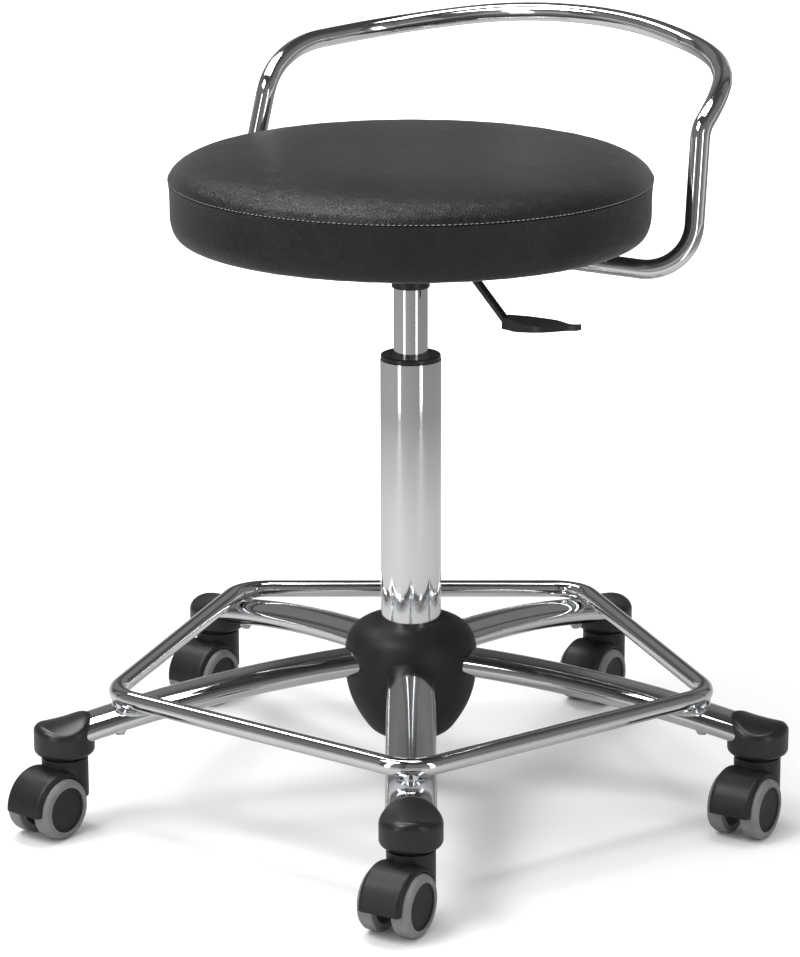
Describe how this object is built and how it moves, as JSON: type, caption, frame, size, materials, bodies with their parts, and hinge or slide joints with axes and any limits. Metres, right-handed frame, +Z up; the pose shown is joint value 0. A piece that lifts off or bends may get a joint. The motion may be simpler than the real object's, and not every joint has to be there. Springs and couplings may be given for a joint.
{
  "type": "dentist stool",
  "caption": "Round padded stool on a chromed five-leg base with twin-wheel casters, foot ring, gas lift with release lever and a bent-tube back hoop.",
  "frame": {"origin": "on the floor, on the column's axis", "axes": "+Z up along the column; -Y towards the front leg; the back hoop faces 60.6 degrees from +X towards +Y at rest"},
  "size_m": [0.6327, 0.6365, 0.624],
  "materials": {
    "leg_chrome": "polished",
    "tube_chrome": "polished",
    "column_chrome": "polished",
    "steel": "zinc plated",
    "black_metal": "satin black powder coat",
    "hub_black": "fine moulded grain",
    "black_plastic": "satin moulded",
    "caster_black": "satin moulded",
    "wheel_black": "satin moulded",
    "tyre_grey": "matte grey polyurethane",
    "plywood": "plywood stained black",
    "upholstery": "black vinyl leather, fine grain"
  },
  "bodies": {
    "base": {"leg_front": "leg_chrome", "leg_right": "leg_chrome", "leg_back_right": "leg_chrome", "leg_back_left": "leg_chrome", "leg_left": "leg_chrome", "hub_sleeve": "steel", "hub_cover": "hub_black", "caster_stems": "steel", "leg_end_caps": "black_plastic", "footrest_ring": "tube_chrome", "footrest_bosses": "tube_chrome", "footrest_nuts": "steel", "column_tube": "column_chrome", "guide_bush": "black_plastic", "thrust_bearing": "steel"},
    "rod": {"piston_rod": "steel", "retaining_clip": "steel"},
    "seat": {"gas_cylinder": "column_chrome", "mechanism_housing": "black_metal", "lever_pivot_pin": "steel", "seat_plate": "black_metal", "seat_board": "plywood", "seat_bolts": "steel", "seat_cushion": "upholstery", "backrest_tube": "tube_chrome", "backrest_brackets": "black_metal", "backrest_bolts": "steel"},
    "lever": {"lever_rod": "black_metal", "lever_paddle": "black_plastic"},
    "button": {"release_button": "steel"},
    "caster_front": {"caster_front_hood": "caster_black", "caster_front_axle": "steel"},
    "wheel_front_a": {"caster_front_disc_a": "wheel_black", "caster_front_tyre_a": "tyre_grey"},
    "wheel_front_b": {"caster_front_disc_b": "wheel_black", "caster_front_tyre_b": "tyre_grey"},
    "caster_right": {"caster_right_hood": "caster_black", "caster_right_axle": "steel"},
    "wheel_right_a": {"caster_right_disc_a": "wheel_black", "caster_right_tyre_a": "tyre_grey"},
    "wheel_right_b": {"caster_right_disc_b": "wheel_black", "caster_right_tyre_b": "tyre_grey"},
    "caster_back_right": {"caster_back_right_hood": "caster_black", "caster_back_right_axle": "steel"},
    "wheel_back_right_a": {"caster_back_right_disc_a": "wheel_black", "caster_back_right_tyre_a": "tyre_grey"},
    "wheel_back_right_b": {"caster_back_right_disc_b": "wheel_black", "caster_back_right_tyre_b": "tyre_grey"},
    "caster_back_left": {"caster_back_left_hood": "caster_black", "caster_back_left_axle": "steel"},
    "wheel_back_left_a": {"caster_back_left_disc_a": "wheel_black", "caster_back_left_tyre_a": "tyre_grey"},
    "wheel_back_left_b": {"caster_back_left_disc_b": "wheel_black", "caster_back_left_tyre_b": "tyre_grey"},
    "caster_left": {"caster_left_hood": "caster_black", "caster_left_axle": "steel"},
    "wheel_left_a": {"caster_left_disc_a": "wheel_black", "caster_left_tyre_a": "tyre_grey"},
    "wheel_left_b": {"caster_left_disc_b": "wheel_black", "caster_left_tyre_b": "tyre_grey"}
  },
  "joints": [
    {"name": "seat_swivel", "type": "hinge", "parent": "base", "child": "rod", "pos_m": [0, 0, 0.3], "axis": [0, 0, 1], "continuous": true},
    {"name": "seat_lift", "type": "slide", "parent": "rod", "child": "seat", "axis": [0, 0, 1], "range_m": [-0.05, 0.085]},
    {"name": "lever_lift", "type": "hinge", "parent": "seat", "child": "lever", "pos_m": [0.01742, -0.00982, 0.461], "axis": [-0.4909, -0.8712, 0], "range_deg": [0, 8], "stiffness_Nm_per_rad": 1.2, "springref_deg": -11.46},
    {"name": "button_press", "type": "slide", "parent": "seat", "child": "button", "axis": [0, 0, -1], "range_m": [0, 0.0033]},
    {"name": "caster_front_swivel", "type": "hinge", "parent": "base", "child": "caster_front", "pos_m": [0, -0.296, 0.05], "axis": [0, 0, 1], "continuous": true},
    {"name": "wheel_front_a_roll", "type": "hinge", "parent": "caster_front", "child": "wheel_front_a", "pos_m": [-0.01059, -0.31471, 0.025], "axis": [0.8704, -0.4924, 0], "continuous": true},
    {"name": "wheel_front_b_roll", "type": "hinge", "parent": "caster_front", "child": "wheel_front_b", "pos_m": [-0.01059, -0.31471, 0.025], "axis": [0.8704, -0.4924, 0], "continuous": true},
    {"name": "caster_right_swivel", "type": "hinge", "parent": "base", "child": "caster_right", "pos_m": [0.28151, -0.09147, 0.05], "axis": [0, 0, 1], "continuous": true},
    {"name": "wheel_right_a_roll", "type": "hinge", "parent": "caster_right", "child": "wheel_right_a", "pos_m": [0.27012, -0.1097, 0.025], "axis": [0.848, -0.5299, 0], "continuous": true},
    {"name": "wheel_right_b_roll", "type": "hinge", "parent": "caster_right", "child": "wheel_right_b", "pos_m": [0.27012, -0.1097, 0.025], "axis": [0.848, -0.5299, 0], "continuous": true},
    {"name": "caster_back_right_swivel", "type": "hinge", "parent": "base", "child": "caster_back_right", "pos_m": [0.17398, 0.23947, 0.05], "axis": [0, 0, 1], "continuous": true},
    {"name": "wheel_back_right_a_roll", "type": "hinge", "parent": "caster_back_right", "child": "wheel_back_right_a", "pos_m": [0.16259, 0.22124, 0.025], "axis": [0.848, -0.5299, 0], "continuous": true},
    {"name": "wheel_back_right_b_roll", "type": "hinge", "parent": "caster_back_right", "child": "wheel_back_right_b", "pos_m": [0.16259, 0.22124, 0.025], "axis": [0.848, -0.5299, 0], "continuous": true},
    {"name": "caster_back_left_swivel", "type": "hinge", "parent": "base", "child": "caster_back_left", "pos_m": [-0.17398, 0.23947, 0.05], "axis": [0, 0, 1], "continuous": true},
    {"name": "wheel_back_left_a_roll", "type": "hinge", "parent": "caster_back_left", "child": "wheel_back_left_a", "pos_m": [-0.18632, 0.22186, 0.025], "axis": [0.8192, -0.5736, 0], "continuous": true},
    {"name": "wheel_back_left_b_roll", "type": "hinge", "parent": "caster_back_left", "child": "wheel_back_left_b", "pos_m": [-0.18632, 0.22186, 0.025], "axis": [0.8192, -0.5736, 0], "continuous": true},
    {"name": "caster_left_swivel", "type": "hinge", "parent": "base", "child": "caster_left", "pos_m": [-0.28151, -0.09147, 0.05], "axis": [0, 0, 1], "continuous": true},
    {"name": "wheel_left_a_roll", "type": "hinge", "parent": "caster_left", "child": "wheel_left_a", "pos_m": [-0.29487, -0.10832, 0.025], "axis": [0.7837, -0.6211, 0], "continuous": true},
    {"name": "wheel_left_b_roll", "type": "hinge", "parent": "caster_left", "child": "wheel_left_b", "pos_m": [-0.29487, -0.10832, 0.025], "axis": [0.7837, -0.6211, 0], "continuous": true}
  ],
  "couplings": [
    {"joint": "button_press", "follows": "lever_lift", "m_per_rad": 0.0235}
  ]
}
